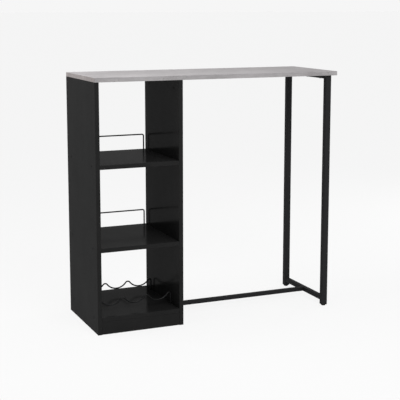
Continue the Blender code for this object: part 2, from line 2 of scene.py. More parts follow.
# # A breakfast bar table in black and concrete grey
# The table is a narrow bar top on two supports: a black shelf unit on the left and a steel leg
# frame on the right. Its solids come ready made from the CAD model, so this lesson gives each
# piece its finish and rebuilds the pieces that solids draw coarsely: bent wire, screw heads,
# threads and weld beads. The box round each CAD solid is read from its points, and the pieces
# that are added later are fitted to it.

# %% load the model
import json
import math

import bmesh
import bpy
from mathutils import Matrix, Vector


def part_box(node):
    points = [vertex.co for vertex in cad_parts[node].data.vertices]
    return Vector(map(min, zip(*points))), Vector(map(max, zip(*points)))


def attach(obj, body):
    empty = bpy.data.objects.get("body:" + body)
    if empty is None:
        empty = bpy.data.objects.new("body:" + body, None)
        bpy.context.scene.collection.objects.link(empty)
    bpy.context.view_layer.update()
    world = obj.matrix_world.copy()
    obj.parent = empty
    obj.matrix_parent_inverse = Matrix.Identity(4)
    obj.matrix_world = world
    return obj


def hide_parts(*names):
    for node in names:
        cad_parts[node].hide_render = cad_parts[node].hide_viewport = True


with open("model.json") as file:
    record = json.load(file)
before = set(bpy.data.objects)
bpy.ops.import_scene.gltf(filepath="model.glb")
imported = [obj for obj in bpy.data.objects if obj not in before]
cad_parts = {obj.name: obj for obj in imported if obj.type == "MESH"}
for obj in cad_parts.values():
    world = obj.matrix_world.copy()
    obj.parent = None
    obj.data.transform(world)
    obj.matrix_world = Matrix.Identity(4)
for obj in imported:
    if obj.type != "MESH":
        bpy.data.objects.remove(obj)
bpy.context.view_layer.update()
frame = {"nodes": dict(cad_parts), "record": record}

# %% [markdown]
# ## Tools for the finishes
# A shader works in linear light, while a colour is picked from a picture as an sRGB hex value, so
# one function turns the second into the first. A second function adds a node: its settings, and
# for each input either a value or a link. The size of a pattern is given in millimetres, as it
# would be measured on the board, and turned into the scale that a noise texture wants. A Mix node
# has sockets for numbers, vectors and colours, so those for colours are given by their places.

# %% colour, nodes and pattern sizes
FACTOR, COLOUR_A, COLOUR_B = 0, 6, 7
MIXED_COLOUR = 2


def linear(hex_colour):
    """The linear RGBA colour of an sRGB hex value."""
    channels = [int(hex_colour[i:i + 2], 16) / 255 for i in (0, 2, 4)]
    return [c / 12.92 if c <= 0.04045 else ((c + 0.055) / 1.055) ** 2.4 for c in channels] + [1.0]


def add_node(tree, kind, inputs=None, **settings):
    """Adds a node with its settings; an input takes a value, a socket to link, or a list of sockets."""
    node = tree.nodes.new(kind)
    for name, value in settings.items():
        setattr(node, name, value)
    for name, value in (inputs or {}).items():
        for source in value if isinstance(value, list) else [value]:
            if isinstance(source, bpy.types.NodeSocket):
                tree.links.new(source, node.inputs[name])
            else:
                node.inputs[name].default_value = value
                break
    return node


def per_metre(size_mm):
    """The texture scale at which a pattern's features are about this size."""
    return 1000 / size_mm


def new_finish(name, hex_colour, roughness, **sockets):
    """A material with its uniform values on the shader's own sockets, and its object coordinates."""
    material = bpy.data.materials.new(name)
    material.use_nodes = True
    tree = material.node_tree
    surface = tree.nodes["Principled BSDF"]
    surface.inputs["Base Color"].default_value = linear(hex_colour)
    surface.inputs["Roughness"].default_value = roughness
    for socket, value in sockets.items():
        surface.inputs[socket.replace("_", " ")].default_value = value
    place = add_node(tree, "ShaderNodeTexCoord").outputs["Object"]
    return material, tree, surface, place


print("mid grey BABABA in linear light:", round(linear("BABABA")[0], 3))

# %% [markdown]
# ## Concrete-look laminate
# The bar top is chipboard pressed with a printed paper that looks like trowelled cement: clouds a
# hand's span wide, smaller patches in them, and faint trowel strokes along the board. An image
# would repeat and blur close up, so the decor is drawn with three noises, one for each of these.
# Together they choose between two greys that are close to each other.

# %% cement tones
CLOUD_MM = 190
PATCH_MM = 34
PATCH_SHARE = 0.8
STROKE_LENGTH_MM = 75
STROKE_WIDTH_MM = 13

# gives the eye a matt cement sheet: light grey, faintly cloudy, streaked along its length
laminate, tree, surface, place = new_finish(
    "concrete_look_laminate", "A7A4A5", 0.5, Specular_IOR_Level=0.0, Coat_Weight=0.06, Coat_Roughness=0.35,
)
clouds = add_node(tree, "ShaderNodeTexNoise", {"Vector": place, "Scale": per_metre(CLOUD_MM), "Detail": 3.0})
patches = add_node(tree, "ShaderNodeTexNoise", {
    "Vector": place, "Scale": per_metre(PATCH_MM), "Detail": 7.0, "Roughness": 0.68,
})
stretched = add_node(tree, "ShaderNodeMapping", {
    "Vector": place,
    "Scale": (per_metre(STROKE_LENGTH_MM), per_metre(STROKE_WIDTH_MM), per_metre(STROKE_WIDTH_MM)),
})
strokes = add_node(tree, "ShaderNodeTexNoise", {
    "Vector": stretched.outputs[0], "Scale": 1.0, "Detail": 5.0, "Roughness": 0.6,
})
mottle = add_node(tree, "ShaderNodeMath", {
    0: patches.outputs[0], 1: PATCH_SHARE, 2: clouds.outputs[0],
}, operation="MULTIPLY_ADD")
tone = add_node(tree, "ShaderNodeMath", {0: strokes.outputs[0], 1: mottle.outputs[0]}, operation="ADD")
spread = add_node(tree, "ShaderNodeMapRange", {"Value": tone.outputs[0], "From Min": 1.1, "From Max": 1.7})
cement = add_node(tree, "ShaderNodeMix", {
    FACTOR: spread.outputs[0], COLOUR_A: linear("9C999A"), COLOUR_B: linear("B2AFB0"),
}, data_type="RGBA")
print("cloud, patch and stroke mm:", CLOUD_MM, PATCH_MM, STROKE_LENGTH_MM)

# %% [markdown]
# ## Pores, edging and relief
# The printed cement also has small dark pores. They are the cells of a texture of random points: a
# push from the noise makes them ragged, and the cell's own random number gives each one its size.
# The edging strip carries the same decor, so one material in object space serves all sides and the
# pattern runs on over the edge; the two short ends, whose faces point along the board, are tinted a
# little warmer, which also darkens them slightly. A last step links colour and relief to the shader, as for
# other finishes.

# %% pores, edging and relief
PORE_CELL_MM = 14  # real pores are finer; at this size a few of them still show in a small picture
PORE_PUSH_MM = 9
RELIEF_DEPTH = 0.0001


def lay_on(tree, surface, colour, relief):
    """Links a pattern to the shader: its colour, and its relief on the body and the coat over it."""
    tree.links.new(colour, surface.inputs["Base Color"])
    tree.links.new(relief, surface.inputs["Normal"])
    tree.links.new(relief, surface.inputs["Coat Normal"])


pushed = add_node(tree, "ShaderNodeVectorMath", {
    0: patches.outputs["Color"], 1: [PORE_PUSH_MM / 1000] * 3, 2: place,
}, operation="MULTIPLY_ADD")
cells = add_node(tree, "ShaderNodeTexVoronoi", {
    "Vector": pushed.outputs[0], "Scale": per_metre(PORE_CELL_MM),
})
pore_size = add_node(tree, "ShaderNodeMapRange", {
    "Value": cells.outputs["Color"], "From Min": 0.4, "To Min": 0.02, "To Max": 0.3,
})
pore_depth = add_node(tree, "ShaderNodeMath", {
    0: cells.outputs["Distance"], 1: pore_size.outputs[0],
}, operation="DIVIDE")
pores = add_node(tree, "ShaderNodeMapRange", {"Value": pore_depth.outputs[0], "From Min": 0.4})
pitted = add_node(tree, "ShaderNodeMix", {
    FACTOR: pores.outputs[0], COLOUR_A: linear("8E8B8B"), COLOUR_B: cement.outputs[MIXED_COLOUR],
}, data_type="RGBA")
# faces that point along the board's length, the two short ends, are multiplied by a warm off-white
facing = add_node(tree, "ShaderNodeSeparateXYZ", {0: place.node.outputs["Normal"]})
short_end = add_node(tree, "ShaderNodeMath", {0: facing.outputs["X"]}, operation="ABSOLUTE")
edged = add_node(tree, "ShaderNodeMix", {
    FACTOR: short_end.outputs[0], COLOUR_A: pitted.outputs[MIXED_COLOUR], COLOUR_B: linear("FFFAF7"),
}, data_type="RGBA", blend_type="MULTIPLY")
grit = add_node(tree, "ShaderNodeMath", {0: pores.outputs[0], 1: tone.outputs[0]}, operation="ADD")
relief = add_node(tree, "ShaderNodeBump", {
    "Strength": 0.12, "Distance": RELIEF_DEPTH, "Height": grit.outputs[0],
})
lay_on(tree, surface, edged.outputs[MIXED_COLOUR], relief.outputs[0])
print(laminate.name, "nodes:", len(tree.nodes))

# %% [markdown]
# ## Black melamine board
# The side panels, shelves and plinths are chipboard with a black melamine skin and black edging.
# Pressing gives the skin a pearl grain of about half a millimetre, which turns gloss into satin:
# a shelf still shows the white behind it and the dark panel beside it, but softly. So the black
# is left matt and the gloss comes from a weak coat, roughened by the grain. The grain and the
# faint clouds that handling leaves also move the black itself, by a few steps of grey.

# %% black melamine board
GRAIN_MM = 2.2  # about four times the real grain, so that it still shows in a close picture
HANDLING_MM = 95
HANDLING_SHARE = 0.4

# gives the eye a neutral black board under a thin resin film, whose gloss is weak but clear
melamine, tree, surface, place = new_finish(
    "black_melamine_board", "252525", 0.6, Specular_IOR_Level=0.0, Coat_Weight=0.082, Coat_Roughness=0.16,
)
grain = add_node(tree, "ShaderNodeTexNoise", {"Vector": place, "Scale": per_metre(GRAIN_MM), "Detail": 2.0})
handling = add_node(tree, "ShaderNodeTexNoise", {
    "Vector": place, "Scale": per_metre(HANDLING_MM), "Detail": 4.0,
})
skin = add_node(tree, "ShaderNodeMath", {
    0: handling.outputs[0], 1: HANDLING_SHARE, 2: grain.outputs[0],
}, operation="MULTIPLY_ADD")
shade = add_node(tree, "ShaderNodeMapRange", {"Value": skin.outputs[0], "From Min": 0.45, "From Max": 0.95})
black = add_node(tree, "ShaderNodeMix", {
    FACTOR: shade.outputs[0], COLOUR_A: linear("1F1F1F"), COLOUR_B: linear("2B2B2B"),
}, data_type="RGBA")
relief = add_node(tree, "ShaderNodeBump", {
    "Strength": 0.1, "Distance": RELIEF_DEPTH, "Height": grain.outputs[0],
})
lay_on(tree, surface, black.outputs[MIXED_COLOUR], relief.outputs[0])
print(melamine.name, "nodes:", len(tree.nodes))

# %% [markdown]
# ## Coated steel
# The leg frame is square tube under a black powder coat, which flows in the oven into a fine
# orange peel. The rails and bottle cradles are wire under a thinner, smoother black coat. Both
# are paints, so they are not metallic; what tells them apart is their gloss and their peel.

# %% powder coat and wire coat
PEEL_MM = 1.5
THIN_PEEL_MM = 3.5

coats = {}
for name, dark, light, gloss, roughness, peel_mm, depth in (
    ("black_powder_coat_steel", "252526", "2F2F30", 0.1, 0.34, PEEL_MM, RELIEF_DEPTH),
    ("black_coated_wire", "1B1B1C", "222223", 0.28, 0.25, THIN_PEEL_MM, RELIEF_DEPTH / 2),
):
    # gives the eye a painted black metal: soft highlights broken up by the peel
    coat, tree, surface, place = new_finish(
        name, dark, 0.6, Specular_IOR_Level=0.0, Coat_Weight=gloss, Coat_Roughness=roughness,
    )
    peel = add_node(tree, "ShaderNodeTexNoise", {"Vector": place, "Scale": per_metre(peel_mm), "Detail": 1.0})
    crests = add_node(tree, "ShaderNodeMapRange", {
        "Value": peel.outputs[0], "From Min": 0.25, "From Max": 0.75,
    })
    film = add_node(tree, "ShaderNodeMix", {
        FACTOR: crests.outputs[0], COLOUR_A: linear(dark), COLOUR_B: linear(light),
    }, data_type="RGBA")
    relief = add_node(tree, "ShaderNodeBump", {"Strength": 0.6, "Distance": depth, "Height": peel.outputs[0]})
    lay_on(tree, surface, film.outputs[MIXED_COLOUR], relief.outputs[0])
    coats[name] = coat
powder_coat, wire_coat = coats.values()
print("coats:", list(coats))

# %% [markdown]
# ## Small hardware
# Levelling feet, leg inserts and cams are moulded plastic with a spark-eroded grain. Screws and
# bolts on the outside have a black oxide skin, a dull oiled film that hides the metal, so they are
# shaded as a dark film. The studs and the fittings under the top are zinc plated, a real metal, and
# keep the default index of refraction. The dowels are beech. Each of the four gets a skin of noise
# at its own size, which moves colour, roughness and relief together, as wear and plating do.

# %% plastic, screw steel and beech
EROSION_MM = 1.2
OXIDE_MM = 3
SPANGLE_MM = 4
BEECH_FLECK_MM = 1.5
ROUGHNESS_SWING = 0.1

hardware = {}
for name, dark, light, roughness, gloss, film, size_mm, metallic in (
    ("black_moulded_plastic", "202020", "282828", 0.35, 0.0, 0.07, EROSION_MM, 0.0),
    ("black_oxide_screw_steel", "161617", "1F1F21", 0.4, 0.0, 0.07, OXIDE_MM, 0.0),
    ("zinc_plated_steel", "AEB1B4", "C4C7CA", 0.32, 0.5, 0.0, SPANGLE_MM, 1.0),
    ("beech_dowel_wood", "B98F5C", "CFA974", 0.7, 0.3, 0.0, BEECH_FLECK_MM, 0.0),
):
    # gives the eye small working parts: grained plastic, dull black screws, bright zinc, pale wood
    finish, tree, surface, place = new_finish(
        name, dark, roughness, Metallic=metallic, Specular_IOR_Level=gloss,
        Coat_Weight=film, Coat_Roughness=roughness,
    )
    skin = add_node(tree, "ShaderNodeTexNoise", {"Vector": place, "Scale": per_metre(size_mm), "Detail": 3.0})
    shade = add_node(tree, "ShaderNodeMix", {
        FACTOR: skin.outputs[0], COLOUR_A: linear(dark), COLOUR_B: linear(light),
    }, data_type="RGBA")
    wander = add_node(tree, "ShaderNodeMapRange", {
        "Value": skin.outputs[0],
        "To Min": roughness - ROUGHNESS_SWING, "To Max": roughness + ROUGHNESS_SWING,
    })
    relief = add_node(tree, "ShaderNodeBump", {
        "Strength": 0.15, "Distance": RELIEF_DEPTH, "Height": skin.outputs[0],
    })
    tree.links.new(shade.outputs[MIXED_COLOUR], surface.inputs["Base Color"])
    tree.links.new(wander.outputs[0], surface.inputs["Roughness"])
    tree.links.new(relief.outputs[0], surface.inputs["Normal"])
    hardware[name] = finish
plastic, oxide_steel, zinc_steel, beech = hardware.values()
print("hardware:", list(hardware))

# %% [markdown]
# ## A finish for every solid
# The record names a material slot for each solid. A table from slot to finish is therefore all
# that is needed to dress the boards, tubes and small parts whose shapes are right already.

# %% dress the solids
FINISH_OF_SLOT = {
    "concrete_laminate": laminate,
    "black_melamine": melamine,
    "black_powder_coat": powder_coat,
    "black_wire_coat": wire_coat,
    "black_plastic": plastic,
    "black_oxide_steel": oxide_steel,
    "zinc_steel": zinc_steel,
    "beech": beech,
}
for subpart in frame["record"]["subparts"]:
    for material_slot in frame["nodes"][subpart["node"]].material_slots:
        material_slot.material = FINISH_OF_SLOT[subpart["material_slot"]]

# %% [markdown]
# ## Tools for Geometry Nodes
# Wire, screws, threads and welds all repeat a shape or follow a path, which is what Geometry
# Nodes are for. A tree is opened with its named inputs and closed with the same two steps:
# instances become real mesh, and the mesh takes its material.

# %% open and close a tree
def open_tree(name, **inputs):
    """A new tree that takes geometry and the named inputs; gives the tree and its input sockets."""
    tree = bpy.data.node_groups.new(name, "GeometryNodeTree")
    for label, kind in {"Geometry": "Geometry", **inputs, "Material": "Material"}.items():
        tree.interface.new_socket(label.replace("_", " "), in_out="INPUT", socket_type="NodeSocket" + kind)
    tree.interface.new_socket("Geometry", in_out="OUTPUT", socket_type="NodeSocketGeometry")
    return tree, add_node(tree, "NodeGroupInput").outputs


def close_tree(tree, given, geometry):
    """Ends a tree: real mesh, its material, and the output."""
    real = add_node(tree, "GeometryNodeRealizeInstances", {"Geometry": geometry})
    painted = add_node(tree, "GeometryNodeSetMaterial", {
        "Geometry": real.outputs[0], "Material": given["Material"],
    })
    add_node(tree, "NodeGroupOutput", {"Geometry": painted.outputs[0]})


print("tree tools ready")

# %% [markdown]
# ## Growing a piece
# A tree grows on a starting mesh, which is often no more than a line of points with a number for
# each. The modifier's inputs are set by their identifiers, because names may repeat. Settling the
# result leaves a plain mesh at the origin, with no modifier on it. A starting mesh without a
# material leaves an empty slot behind, so the slots are made new.

# %% grow a piece
def put(name, data):
    """A new object in the scene that holds this mesh, lamp or camera."""
    thing = bpy.data.objects.new(name, data)
    bpy.context.scene.collection.objects.link(thing)
    return thing


def settle(piece):
    """Gives a piece the mesh that its modifiers make, and takes the modifiers off."""
    made = bpy.data.meshes.new_from_object(piece.evaluated_get(bpy.context.evaluated_depsgraph_get()))
    piece.modifiers.clear()
    piece.data = made


def grow(name, start, tree, **values):
    """A plain mesh object: the tree grown on the starting mesh with these values."""
    piece = put(name, start)
    modifier = piece.modifiers.new(tree.name, "NODES")
    modifier.node_group = tree
    for item in tree.interface.items_tree:
        label = item.name.replace(" ", "_")
        if item.in_out == "INPUT" and label in values:
            modifier[item.identifier] = values[label]
    settle(piece)
    piece.data.materials.clear()
    piece.data.materials.append(values["Material"])
    return piece


def box_mm(piece):
    """The size of a piece's box in millimetres, for printing."""
    return [round(1000 * side, 2) for side in piece.dimensions]


def path_mesh(points, closed=False, **fields):
    """A line of points joined by edges, with one number per point for each named field."""
    mesh = bpy.data.meshes.new("path")
    last = len(points) if closed else len(points) - 1
    mesh.from_pydata(points, [(i, (i + 1) % len(points)) for i in range(last)], [])
    for label, numbers in fields.items():
        mesh.attributes.new(label, "FLOAT", "POINT").data.foreach_set("value", numbers)
    return mesh


print("growing tools ready")

# %% [markdown]
# ## Bent wire
# A wire bender feeds straight wire and folds it round pins, so a bent wire is fully given by
# corner points and the pin radius at each corner. The tree does just that: it rounds every
# corner by its own radius and runs a round section along the line. The thickness of the wire
# comes from the solid that it replaces.

# %% bent wire
WIRE_SIDES = 20
BEND_STEPS = 14
SAME_POINT = 1e-5  # where one bend runs straight into the next, their end rings fall together


def rounded_path(tree, mesh, steps):
    """A line of points as a curve in which each corner is rounded by its own radius."""
    line = add_node(tree, "GeometryNodeMeshToCurve", {"Mesh": mesh})
    radius = add_node(tree, "GeometryNodeInputNamedAttribute", {"Name": "pin_radius"}, data_type="FLOAT")
    rounded = add_node(tree, "GeometryNodeFilletCurve", {
        "Curve": line.outputs[0], "Radius": radius.outputs[0], "Count": steps, "Limit Radius": True,
    }, mode="POLY")
    return rounded.outputs[0]


wire_tree, given = open_tree("bent_wire", Wire_radius="Float", Sides="Int", Bend_steps="Int")
section = add_node(wire_tree, "GeometryNodeCurvePrimitiveCircle", {
    "Resolution": given["Sides"], "Radius": given["Wire radius"],
})
wire = add_node(wire_tree, "GeometryNodeCurveToMesh", {
    "Curve": rounded_path(wire_tree, given["Geometry"], given["Bend steps"]),
    "Profile Curve": section.outputs[0], "Fill Caps": True,
})
merged = add_node(wire_tree, "GeometryNodeMergeByDistance", {
    "Geometry": wire.outputs[0], "Distance": SAME_POINT,
})
smooth = add_node(wire_tree, "GeometryNodeSetShadeSmooth", {"Geometry": merged.outputs[0]})
close_tree(wire_tree, given, smooth.outputs[0])


def bend_wire(name, node, corners, radii):
    """A wire bent along the corners that stands for a CAD node of the same wire."""
    low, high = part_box(node)
    piece = grow(
        name, path_mesh(corners, pin_radius=radii), wire_tree,
        Wire_radius=(high.y - low.y) / 2, Sides=WIRE_SIDES, Bend_steps=BEND_STEPS, Material=wire_coat,
    )
    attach(piece, "table")
    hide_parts(node)
    print(name, "faces:", len(piece.data.polygons), "size mm:", box_mm(piece))


print(wire_tree.name, "nodes:", len(wire_tree.nodes))

# %% [markdown]
# ## Guard rails
# A rail along the back of two shelves keeps things from falling off. It is a plain bow with two
# bends, and its ends stand in holes in the shelf. Its corners are read from the solid's box.

# %% guard rails
RAIL_PIN_RADIUS = 0.008

for level in ("upper", "middle"):
    low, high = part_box(level + "_guard_rail")
    radius = (high.y - low.y) / 2
    left, right, top, back = low.x + radius, high.x - radius, high.z - radius, low.y + radius
    bow = [(left, back, low.z), (left, back, top), (right, back, top), (right, back, low.z)]
    bend_wire(level + "_rail_wire", level + "_guard_rail", bow, [0, RAIL_PIN_RADIUS, RAIL_PIN_RADIUS, 0])

# %% [markdown]
# ## Bottle cradles
# Two wires bent into waves stand on the bottom shelf, and three bottles lie across them in the
# valleys. Such a wave is a zigzag folded round two kinds of pins, wide ones under the bottles and
# narrow ones between them, so that one arc runs straight into the next. The unknown is the pitch:
# the outer slopes have to end tangent to the upright ends of the wire, which gives a quadratic
# equation. With the pitch known, slope, valley radius and zigzag corners all follow.

# %% bottle cradles
BOTTLES = 3
SHELF_TO_VALLEY = 0.0255
SHELF_TO_PEAK = 0.0515
PEAK_PIN_RADIUS = 0.012
END_PIN_RADIUS = 0.007

shelf_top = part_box("bottom_shelf")[1].z
rise = SHELF_TO_PEAK - SHELF_TO_VALLEY
for row in ("front", "rear"):
    low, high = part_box(row + "_bottle_wire")
    radius = (high.y - low.y) / 2
    middle, depth, half_span = (low.x + high.x) / 2, low.y + radius, (high.x - low.x) / 2 - radius
    reach = half_span - END_PIN_RADIUS
    pins = 4 * BOTTLES * rise * (PEAK_PIN_RADIUS - END_PIN_RADIUS)
    pitch = (reach + math.sqrt(reach ** 2 + pins)) / BOTTLES
    slope = 2 * math.atan(2 * rise / pitch)
    valley_radius = pitch / 2 / math.sin(slope) - PEAK_PIN_RADIUS
    overshoot = 1 / math.cos(slope) - 1
    valley = shelf_top + SHELF_TO_VALLEY - valley_radius * overshoot
    peak = shelf_top + SHELF_TO_PEAK + PEAK_PIN_RADIUS * overshoot
    shoulder = valley + (half_span - pitch * (BOTTLES - 1) / 2) * math.tan(slope)
    wave = [
        (middle + (i - BOTTLES + 1) * pitch / 2, depth, peak if i % 2 else valley)
        for i in range(2 * BOTTLES - 1)
    ]
    wave_radii = [PEAK_PIN_RADIUS if i % 2 else valley_radius for i in range(2 * BOTTLES - 1)]
    left, right = middle - half_span, middle + half_span
    corners = [
        (left, depth, low.z), (left, depth, shoulder), *wave,
        (right, depth, shoulder), (right, depth, low.z),
    ]
    radii = [0, END_PIN_RADIUS, *wave_radii, END_PIN_RADIUS, 0]
    bend_wire(row + "_cradle_wire", row + "_bottle_wire", corners, radii)
print("pitch mm:", round(1000 * pitch, 2), "valley radius mm:", round(1000 * valley_radius, 2))

# %% [markdown]
# ## Turned hardware
# Screws, bolts and cams are turned parts with a driver recess cut into the head. Each kind is
# turned once from its profile, with the head facing up at the origin, and cut once. A cut can
# leave hair-thin faces, which go when points that lie almost on each other are merged.

# %% turning and cutting
TURNED_SIDES = 32
SHARP_EDGE = math.radians(35)
WELD_POINTS = 1e-6


def from_shape(name, shape):
    """A new object from a bmesh shape, with its faces pointing outwards."""
    bmesh.ops.recalc_face_normals(shape, faces=shape.faces)
    mesh = bpy.data.meshes.new(name)
    shape.to_mesh(mesh)
    shape.free()
    return put(name, mesh)


def turned(name, profile, sides=TURNED_SIDES):
    """A closed turned object; the profile of (radius, height) runs from the axis and back to it."""
    shape = bmesh.new()
    points = [shape.verts.new((radius, 0, height)) for radius, height in profile]
    edges = [shape.edges.new(pair) for pair in zip(points, points[1:])]
    bmesh.ops.spin(
        shape, geom=points + edges, cent=(0, 0, 0), axis=(0, 0, 1),
        angle=math.tau, steps=sides, use_merge=True,
    )
    bmesh.ops.remove_doubles(shape, verts=shape.verts, dist=WELD_POINTS)
    return from_shape(name, shape)


def soften(mesh):
    """Shades a mesh smooth everywhere but over its sharp edges."""
    mesh.shade_smooth()
    mesh.set_sharp_from_angle(angle=SHARP_EDGE)


def cut(piece, cutter):
    """Cuts the cutter out of a piece and throws it away."""
    modifier = piece.modifiers.new("recess", "BOOLEAN")
    modifier.operation, modifier.object, modifier.solver = "DIFFERENCE", cutter, "EXACT"
    settle(piece)
    bpy.data.objects.remove(cutter)
    shape = bmesh.new()
    shape.from_mesh(piece.data)
    bmesh.ops.remove_doubles(shape, verts=shape.verts, dist=WELD_POINTS)
    bmesh.ops.dissolve_degenerate(shape, edges=shape.edges, dist=WELD_POINTS)
    shape.to_mesh(piece.data)
    shape.free()
    soften(piece.data)


print("sides of a turned piece:", TURNED_SIDES)

# %% [markdown]
# ## Setting out on points
# A turned piece is needed in many places. A second tree sets copies of it on points, each turned
# so that its head faces the way that the point's axis says. The points are read from the solids,
# so every copy sits in its own hole.

# %% setting out
set_tree, given = open_tree("set_out_on_points", Hardware="Object")
axis = add_node(set_tree, "GeometryNodeInputNamedAttribute", {"Name": "axis"}, data_type="FLOAT_VECTOR")
facing = add_node(set_tree, "FunctionNodeAlignRotationToVector", {"Vector": axis.outputs[0]}, axis="Z")
model = add_node(set_tree, "GeometryNodeObjectInfo", {"Object": given["Hardware"]})
copies = add_node(set_tree, "GeometryNodeInstanceOnPoints", {
    "Points": given["Geometry"], "Instance": model.outputs["Geometry"], "Rotation": facing.outputs[0],
})
close_tree(set_tree, given, copies.outputs[0])


def set_out(name, hardware, facings, finish):
    """Copies of one piece of hardware, one for each node, with its head on the side that faces out."""
    places, axes = [], []
    for node, direction in facings.items():
        low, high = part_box(node)
        half = (high - low) / 2
        places.append((low + high) / 2 + Vector(a * b for a, b in zip(half, direction)))
        axes.extend(direction)
    points = bpy.data.meshes.new("points")
    points.from_pydata(places, [], [])
    points.attributes.new("axis", "FLOAT_VECTOR", "POINT").data.foreach_set("vector", axes)
    piece = grow(name, points, set_tree, Hardware=hardware, Material=finish)
    bpy.data.objects.remove(hardware)
    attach(piece, "table")
    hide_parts(*facings)
    print(name, "copies:", len(facings), "faces:", len(piece.data.polygons))


print(set_tree.name, "nodes:", len(set_tree.nodes))

# %% [markdown]
# ## Shelf screws
# Each shelf hangs on four long screws driven through the side panels. Their flat heads sit flush
# with the panel and show as small dark dots with a hexagon socket. The head tapers into a thick
# shank, because it is turned from one bar and has to fill its stepped hole.

# %% shelf screws
SCREW_HEAD_RADIUS = 0.0048
SCREW_HEAD_HEIGHT = 0.0030
SCREW_SHANK_RADIUS = 0.0034
SCREW_TIP = 0.003
SCREW_EDGE_BREAK = 0.0003
SOCKET_SIDES = 6
SOCKET_RADIUS = 0.0023
SOCKET_DEPTH = 0.0024
OVERCUT = 0.001


def socket_cutter():
    """A cutter for a hexagon socket, which stands a little out of the head."""
    return turned("socket", [
        (0, OVERCUT), (SOCKET_RADIUS, OVERCUT), (SOCKET_RADIUS, -SOCKET_DEPTH), (0, -SOCKET_DEPTH),
    ], SOCKET_SIDES)


low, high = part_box("upper_shelf_screw_left_front")
screw_length = high.x - low.x
shelf_screw = turned("shelf_screw_model", [
    (0, 0),
    (SCREW_HEAD_RADIUS - SCREW_EDGE_BREAK, 0),
    (SCREW_HEAD_RADIUS, -SCREW_EDGE_BREAK),
    (SCREW_SHANK_RADIUS, -SCREW_HEAD_HEIGHT),
    (SCREW_SHANK_RADIUS, SCREW_TIP - screw_length),
    (0, -screw_length),
])
cut(shelf_screw, socket_cutter())
OUTWARD = {"left": (-1, 0, 0), "right": (1, 0, 0)}
set_out("shelf_screw_set", shelf_screw, {
    f"{level}_shelf_screw_{side}_{end}": OUTWARD[side]
    for level in ("upper", "middle", "bottom") for side in OUTWARD for end in ("front", "rear")
}, oxide_steel)

# %% [markdown]
# ## Foot bar bolts
# The foot bar is held by one button-head bolt at each end. The head is domed, so its profile is an
# arc: it gives the small round highlight by which the eye knows a screw. A hexagon socket, cut in
# the same way as on the shelf screws, takes the key.

# %% foot bar bolts
DOME_STEPS = 6


def domed(radius, height, crown, shank, length):
    """The profile of a round-headed screw: a crown that drops over the rim, a head and a shank."""
    angles = [math.pi / 2 * i / DOME_STEPS for i in range(DOME_STEPS + 1)]
    arc = [(radius * math.sin(angle), -crown * (1 - math.cos(angle))) for angle in angles]
    return [*arc, (radius, -height), (shank, -height), (shank, -length), (0, -length)]


BOLT_HEAD_RADIUS = 0.0058
BOLT_HEAD_HEIGHT = 0.0033
BOLT_CROWN = 0.0022
BOLT_SHANK_RADIUS = 0.0030
low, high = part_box("foot_bar_frame_bolt")
bolt = turned("bolt_model", domed(
    BOLT_HEAD_RADIUS, BOLT_HEAD_HEIGHT, BOLT_CROWN, BOLT_SHANK_RADIUS, high.x - low.x,
))
cut(bolt, socket_cutter())
set_out("foot_bar_bolt_set", bolt, {
    "foot_bar_panel_bolt": OUTWARD["left"], "foot_bar_frame_bolt": OUTWARD["right"],
}, oxide_steel)

# %% [markdown]
# ## Top bar screws
# Three pan-head screws, driven up through the top bar of the leg frame, hold the bar top. They are
# wood screws with a cross recess. One cutter with the outline of a plus leaves a cleaner mesh than
# two crossed bars, whose floors would lie in one plane.

# %% top bar screws
PAN_HEAD_RADIUS = 0.0042
PAN_HEAD_HEIGHT = 0.0025
PAN_CROWN = 0.0014
PAN_SHANK_RADIUS = 0.0020
CROSS_LENGTH = 0.0042
CROSS_WIDTH = 0.0009
CROSS_DEPTH = 0.0014


def plus_cutter(length, width, depth):
    """A cutter for a cross recess: an upright prism whose outline is a plus."""
    a, b = length / 2, width / 2
    outline = [
        (a, -b), (a, b), (b, b), (b, a), (-b, a), (-b, b),
        (-a, b), (-a, -b), (-b, -b), (-b, -a), (b, -a), (b, -b),
    ]
    shape = bmesh.new()
    floor = shape.faces.new([shape.verts.new((x, y, -depth)) for x, y in outline])
    raised = bmesh.ops.extrude_face_region(shape, geom=[floor], use_keep_orig=True)["geom"]
    for part in raised:
        if isinstance(part, bmesh.types.BMVert):
            part.co.z = OVERCUT
    return from_shape("cross", shape)


low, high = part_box("top_bar_screw_middle")
pan_screw = turned("pan_screw_model", domed(
    PAN_HEAD_RADIUS, PAN_HEAD_HEIGHT, PAN_CROWN, PAN_SHANK_RADIUS, high.z - low.z,
))
cut(pan_screw, plus_cutter(CROSS_LENGTH, CROSS_WIDTH, CROSS_DEPTH))
set_out("top_bar_screw_set", pan_screw, {
    f"top_bar_screw_{end}": (0, 0, -1) for end in ("front", "middle", "rear")
}, zinc_steel)

# %% [markdown]
# ## Cams
# The bar top is pulled down on the side panels by cam fittings: a disc that is turned with a
# screwdriver and draws a bolt in. Four discs show on the inner faces of the panels, flush, with a
# raised rim and a cross slot. A rim and a sunk face are one more step in the turned profile.

# %% cams
CAM_RADIUS = 0.0075
CAM_RIM = 0.0010
CAM_SINK = 0.0005
CAM_SLOT_LENGTH = 0.0070
CAM_SLOT_WIDTH = 0.0014
CAM_SLOT_DEPTH = 0.0018

